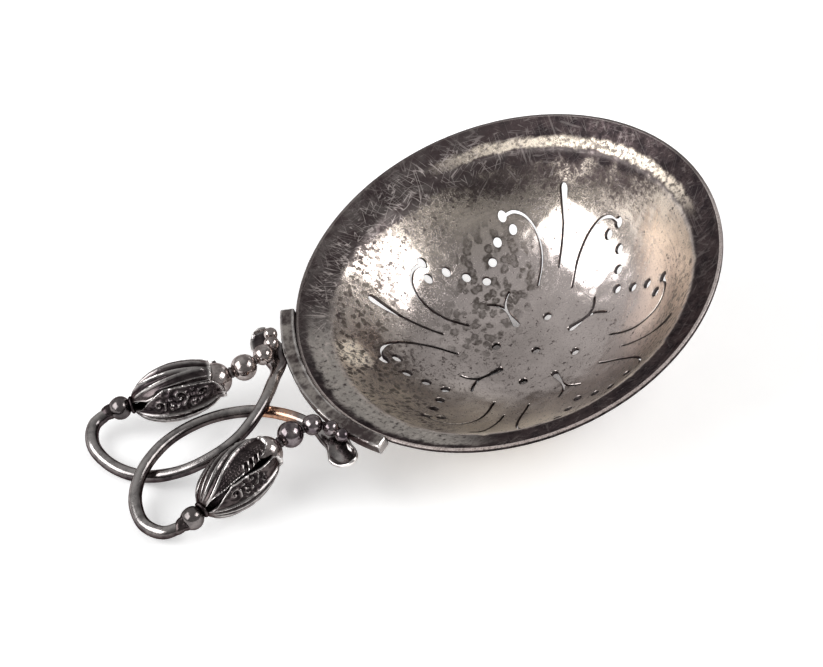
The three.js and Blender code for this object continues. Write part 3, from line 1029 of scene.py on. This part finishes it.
def bowl_silver():
    """The bowl: spotted silver inside, and a dark, scratched rim."""
    paint = Paint("bowl_silver")
    x, y = paint.rim.parts(2)
    plan = paint.field("CombineXYZ", {0: x, 1: y})
    r = plan.vector("LENGTH", output="Value")
    cloud = paint.noise(0.09, 4)
    patch = paint.noise(0.33, 5, 0.62)
    grain = paint.noise(1.15, 6, 0.72)
    speck = paint.noise(3.6, 4, 0.7)
    to_far = plan.toward(48)
    handle_zone = plan.toward(172).step(14, 23) * r.step(20, 25)
    far_zone = to_far.step(21, 28) * r.step(26, 31)
    upper_zone = plan.toward(88).step(22, 31) * r.step(25, 30)
    low_zone = plan.toward(-75).step(16, 24) * 0.7
    # The near wall is painted lighter: a painted reflection.
    near_wall_painted_reflection = plan.toward(224).step(8, 22)

    # Tarnish spots: large blotches left of the middle, dapples and specks up the walls.
    wobble = paint.noise(0.9, 3, 0.6).vector("MULTIPLY", (1.6, 1.6, 0))
    shifted = plan.vector("ADD", wobble)
    cell = paint.field("TexVoronoi", {"Vector": shifted, "Scale": 0.6})
    small_cell = paint.field("TexVoronoi", {"Vector": shifted, "Scale": 1.05})
    blotch_zone = paint.rim.distance((2.5, 19.0, -18)).step(12, 6.5)
    blotch_zone = blotch_zone | paint.rim.distance((-6.0, 11.0, -19)).step(10, 5) * 0.8
    blotch = cell.step(0.56, 0.42) * cell.step(0.1, 0.34, 0.6, 1.0) * blotch_zone
    blotch = blotch * grain.step(0.36, 0.5, 0.5, 1.0) * patch.step(0.34, 0.46, 0.3, 1.0)
    dapple = small_cell.step(0.5, 0.38) * patch.step(0.38, 0.5, 0.25, 1.0)
    blotch = blotch | dapple * (handle_zone | (far_zone | upper_zone) * 0.6 | low_zone)
    level = cloud * 0.16 + (handle_zone * 0.04 + far_zone * 0.09 + upper_zone * 0.06)
    pits = (grain + level).step(0.66, 0.72) | (speck + level).step(0.67, 0.75) * 0.8

    # Inside: clouds, polishing lines round the wall, painted shade at the bottom, and painted
    # reflections: a lighter near wall and a light, dull patch on the wall near the handle.
    across_x, across_y = plan.vector("NORMALIZE").parts(2)
    round_wall = paint.field("CombineXYZ", {0: r * 2.6, 1: across_x * 5.0, 2: across_y * 5.0})
    lines = paint.noise(1.0, 5, 0.65, round_wall).step(0.5, 0.68) * (r.step(20, 30) * 0.6)
    # A light, less metallic patch on the wall near the handle: a painted reflection of light bounced
    # off the bowl's other walls.
    painted_reflection_patch = (paint.rim.distance((-31.5, 9.0, -8.0)) + patch * 4.0).step(7.5, 4.5)
    shade = paint.rim.distance((-4.0, -3.0, -20)).step(13, 4, 0.0, 0.5)
    inside = paint.layers(
        LIGHT_SILVER,
        (r.step(19, 31) * x.step(-36, 10, 0.55, 1.0) * 0.85, WARM_SILVER),
        (near_wall_painted_reflection * 0.8, PAINTED_REFLECTION_CREAM),
        (cloud.step(0.42, 0.6, 0.0, 0.55) * x.step(16, -4, 0.3, 1.0), GREY_TARNISH),
        (shade * patch.step(0.3, 0.6, 0.6, 1.0), GREY_TARNISH),
        (lines, GREY_TARNISH),
        (speck.step(0.46, 0.6, 0.0, 0.3), GREY_TARNISH),
        (far_zone * patch.step(0.35, 0.6, 0.55, 0.92), BROWN_PATINA),
        (painted_reflection_patch * grain.step(0.64, 0.46), PAINTED_REFLECTION_CREAM),
        (blotch * 0.9, OLIVE_TARNISH),
        (pits * 0.85, BROWN_PATINA),
    )

    # The dark rim: at the far left it spills over the crease and down the wall. It is worn in
    # an arc on the far side, bare next to the bracket and scratched most at the far left.
    ragged = r + (patch - 0.5) * 3.4
    spill = y.step(-5, 32, 0.0, 1.8) * x.step(-24, -8)
    dark_rim = (ragged + spill).step(CREASE_RADIUS - 0.5, CREASE_RADIUS + 0.6)
    fine_cuts = paint.scratches((38, -12, 72), 0.9, 9.0, 0.012)
    cuts = paint.scratches((18, 57, -34, 104), 1.7, 18.0, 0.011) | fine_cuts * 0.8
    many = y.step(-6, 26) * x.step(24, -4)
    uneven = r + (patch - 0.5) * 1.8
    worn_arc = uneven.step(36.6, 35.7) * uneven.step(34.1, 34.7) * plan.toward(38).step(21, 30)
    bare = x.step(-18, -28) * y.step(22, 8) * ragged.step(38.6, 37.4)
    rim_colour = paint.layers(
        BROWN_PATINA,
        (patch.step(0.4, 0.65), BLACK_PATINA),
        (worn_arc * grain.step(0.62, 0.44, 0.15, 0.9), WARM_SILVER),
        ((speck + many * 0.06).step(0.66, 0.76) * 0.25, GREY_TARNISH),
        (bare * grain.step(0.68, 0.48), GREEN_TARNISH),
        (many * patch.step(0.38, 0.62) * 0.22, GREY_TARNISH),
        (cuts * (many * r.step(39.0, 36.0) * 0.6 + 0.1), LIGHT_SILVER),
    )

    bright = paint.wear * speck.step(0.3, 0.55, 0.2, 0.8) * (many * -0.8 + 1.0)
    colour = paint.layers(
        inside,
        (dark_rim, rim_colour),
        (bright * to_far.step(28, 16, 0.25, 1.0), LIGHT_SILVER),
        (fine_cuts * r.step(33, 31) * 0.22, LIGHT_SILVER),
        (paint.soot, BLACK_PATINA),
    )
    rough = (pits | blotch) * 0.3 + 0.085 + near_wall_painted_reflection * 0.32 + painted_reflection_patch * 0.22
    rough = rough + plan.toward(-62).step(5, 19, 0.0, 0.22)
    rough = rough + dark_rim * worn_arc.step(0, 1, 0.17, 0.05) + grain * 0.06
    height = grain * 0.25 + speck * 0.12 + pits * -0.5 + cuts * dark_rim.step(0, 1, -0.06, -0.25)
    return paint.finish(colour, rough, height, 0.02, metal=painted_reflection_patch.step(0, 1, 1.0, 0.35))


def handle_silver(name, bright, tarnish, shine_share, gloss=0.15, accent=None):
    """Oxidised silver: dark in the hollows, rubbed bright wherever a finger reaches, and lighter along
    the wires' tops, where the mask paints a highlight as well as wear. An accent is a centre, a radius
    and the colour that shows through round that centre."""
    paint = Paint(name)
    patch = paint.noise(0.45, 5, 0.62)
    grain = paint.noise(1.7, 5, 0.7)
    speck = paint.noise(5.0, 3, 0.65)
    # Rubbed bright where the mask says, which on the wires' tops is also a painted highlight.
    shine = paint.wear * (speck * 0.5 + patch).step(0.45, 0.85, 0.35, 1.0)
    colour = paint.layers(
        tarnish,
        (patch.step(0.36, 0.66), bright),
        (grain.step(0.54, 0.7) * 0.6, BROWN_PATINA),
        (shine * shine_share, RUBBED_AND_HIGHLIGHT_SILVER),
        (paint.soot * speck.step(0.2, 0.6, 0.95, 0.7), BLACK_PATINA),
    )
    if accent:
        centre, radius, tint = accent
        ragged = paint.rim.distance(centre) + (patch - 0.5) * 3.0
        bare = ragged.step(radius, 0.45 * radius) * grain.step(0.62, 0.4, 0.45, 1.0)
        colour = paint.layers(colour, (bare, tint))
    rough = patch * (0.5 * gloss) + shine.step(0.0, 1.0, 1.3 * gloss, gloss) + paint.soot * 0.2
    hair = paint.scratches((15, 75, -50), 0.5, 2.5, 0.04)
    return paint.finish(colour, rough, grain * 0.5 + speck * 0.35 + hair * -0.3, 0.011)


HANDLE_METALS = {
    "dark_silver_left": dict(
        bright=(0.11, 0.091, 0.091, 1), tarnish=(0.038, 0.03, 0.033, 1), shine_share=0.95, gloss=0.11,
        accent=((-46.5, 3.5, 2.6), 6.0, (0.45, 0.41, 0.39, 1)),
    ),
    "dark_silver_right": dict(
        bright=(0.12, 0.1, 0.097, 1), tarnish=(0.04, 0.032, 0.033, 1), shine_share=0.95, gloss=0.11,
        accent=((-48.3, -1.1, 0.8), 5.0, COPPER),
    ),
    "bead_silver_left": dict(
        bright=(0.6, 0.54, 0.52, 1), tarnish=(0.28, 0.24, 0.23, 1), shine_share=0.9, gloss=0.08,
    ),
    "bead_silver_right": dict(
        bright=(0.34, 0.3, 0.3, 1), tarnish=(0.11, 0.09, 0.1, 1), shine_share=0.9, gloss=0.08,
    ),
    "bracket_silver": dict(
        bright=(0.44, 0.4, 0.37, 1), tarnish=(0.08, 0.063, 0.062, 1), shine_share=0.8,
        accent=((-38.0, -13.5, 0.9), 7.5, (0.09, 0.07, 0.07, 1)),
    ),
}

TABLE_GLOW = 0.34              # the table is a light table: its glow fills the shadows
# The glow fades out towards the bowl's foot: a painted shadow under the bowl.
PAINTED_SHADOW_SPAN = (6 * MM, 30 * MM)  # distances from the bowl's foot where it starts and is full


def white_table():
    """A seamless white sweep, with the faintest tooth of card. It glows, and the glow fades out round
    the bowl's foot as a painted shadow under the bowl.
    """
    material = bpy.data.materials.new("table_white")
    material.use_nodes = True
    tree = material.node_tree
    foot = RIM @ Vector((-4, 0, -BOWL_DEPTH))
    tooth = Field(tree, "TexNoise", {"Scale": 900})
    from_foot = Field(tree, "TexCoord", output="Object").distance(foot)
    set_inputs(tree, tree.nodes["Principled BSDF"], {
        "Base Color": Field(tree, "MapRange", {"Value": tooth, "To Min": 0.93, "To Max": 0.96}),
        "Roughness": 0.9,
        "Specular IOR Level": 0.1,
        "Emission Color": (1, 1, 1, 1),
        # Emission fades out near the bowl's foot: a painted shadow under the bowl.
        "Emission Strength": from_foot.step(*PAINTED_SHADOW_SPAN, 0.0, TABLE_GLOW),
    })
    return material


# ---- Table, lights and camera --------------------------------------------------------------

SOFTBOXES = {   # azimuth and elevation in degrees, width and height in metres, radiance
    "softbox_right": (-34, 43, 0.5, 0.38, 5.2),
    "softbox_left": (170, 31, 0.88, 0.54, 4.3),
    "softbox_back": (32, 13, 0.34, 0.26, 1.2),
}
SOFTBOX_DISTANCE = 0.85
SKY_BRIGHT = (110, 22)         # azimuth and elevation of the studio's brightest wall
SKY_STRENGTH = (0.32, 0.48)

CAMERA_AT = Vector((-0.2752, -0.5576, 0.5374))
CAMERA_HEADING = 63.66     # azimuth it looks along, degrees
CAMERA_PITCH = -39.92
CAMERA_ROLL = 0.96
CAMERA_LENS = 196.8        # millimetres, on a sensor 36 mm wide


def compass(azimuth, elevation):
    """Unit vector towards an azimuth, counted from +X to +Y, and an elevation."""
    a, e = math.radians(azimuth), math.radians(elevation)
    return Vector((math.cos(e) * math.cos(a), math.cos(e) * math.sin(a), math.sin(e)))


def table_sweep(material):
    half = 2.5
    mesh = bpy.data.meshes.new("table")
    corners = [(-half, -half, 0), (half, -half, 0), (half, half, 0), (-half, half, 0)]
    mesh.from_pydata(corners, [], [(0, 1, 2, 3)])
    mesh.materials.append(material)
    table = bpy.data.objects.new("table", mesh)
    bpy.context.scene.collection.objects.link(table)


def softbox(name, azimuth, elevation, width, height, radiance):
    """A rectangular softbox aimed at the object. Its face is as bright as radiance."""
    lamp = bpy.data.lights.new(name, "AREA")
    lamp.shape = "RECTANGLE"
    lamp.size, lamp.size_y = width, height
    lamp.energy = radiance * math.pi * width * height
    box = bpy.data.objects.new(name, lamp)
    away = compass(azimuth, elevation)
    face = away.to_track_quat("Z", "Y").to_matrix().to_4x4()
    box.matrix_world = Matrix.Translation(away * SOFTBOX_DISTANCE) @ face
    bpy.context.scene.collection.objects.link(box)


def studio():
    for name, setting in SOFTBOXES.items():
        softbox(name, *setting)
    world = bpy.data.worlds.new("studio")
    world.use_nodes = True
    tree = world.node_tree
    tree.nodes.clear()
    facing = Field(tree, "TexCoord", output="Generated").vector(
        "DOT_PRODUCT", compass(*SKY_BRIGHT), "Value")
    sky = Field(tree, "Background", {
        "Color": (1, 0.995, 0.99, 1), "Strength": facing.step(-0.2, 1.0, *SKY_STRENGTH),
    })
    add_node(tree, "OutputWorld", {0: sky})
    bpy.context.scene.world = world


def place_camera():
    lens = bpy.data.cameras.new("camera")
    lens.lens = CAMERA_LENS
    lens.sensor_width = 36.0
    camera = bpy.data.objects.new("camera", lens)
    look = compass(CAMERA_HEADING, CAMERA_PITCH)
    facing = look.to_track_quat("-Z", "Y").to_matrix().to_4x4()
    roll = Matrix.Rotation(math.radians(CAMERA_ROLL), 4, "Z")
    camera.matrix_world = Matrix.Translation(CAMERA_AT) @ facing @ roll
    bpy.context.scene.collection.objects.link(camera)
    bpy.context.scene.camera = camera


# ---- The whole strainer --------------------------------------------------------------------

def build_strainer():
    metal = {name: handle_silver(name, **look) for name, look in HANDLE_METALS.items()}
    build_bowl(bowl_silver())
    build_bracket(metal["bracket_silver"])
    for name, side in SIDES.items():
        dark = metal[f"dark_silver_{name}"]
        build_stem(name, side, dark)
        build_beads(name, metal[f"bead_silver_{name}"], metal["bead_silver_left"], dark)
        for place in ("top", "bottom", "inner", "outer"):
            build_petal(name, place, dark, side)


build_strainer()
table_sweep(white_table())
studio()
place_camera()
bpy.context.scene.view_settings.view_transform = "Standard"
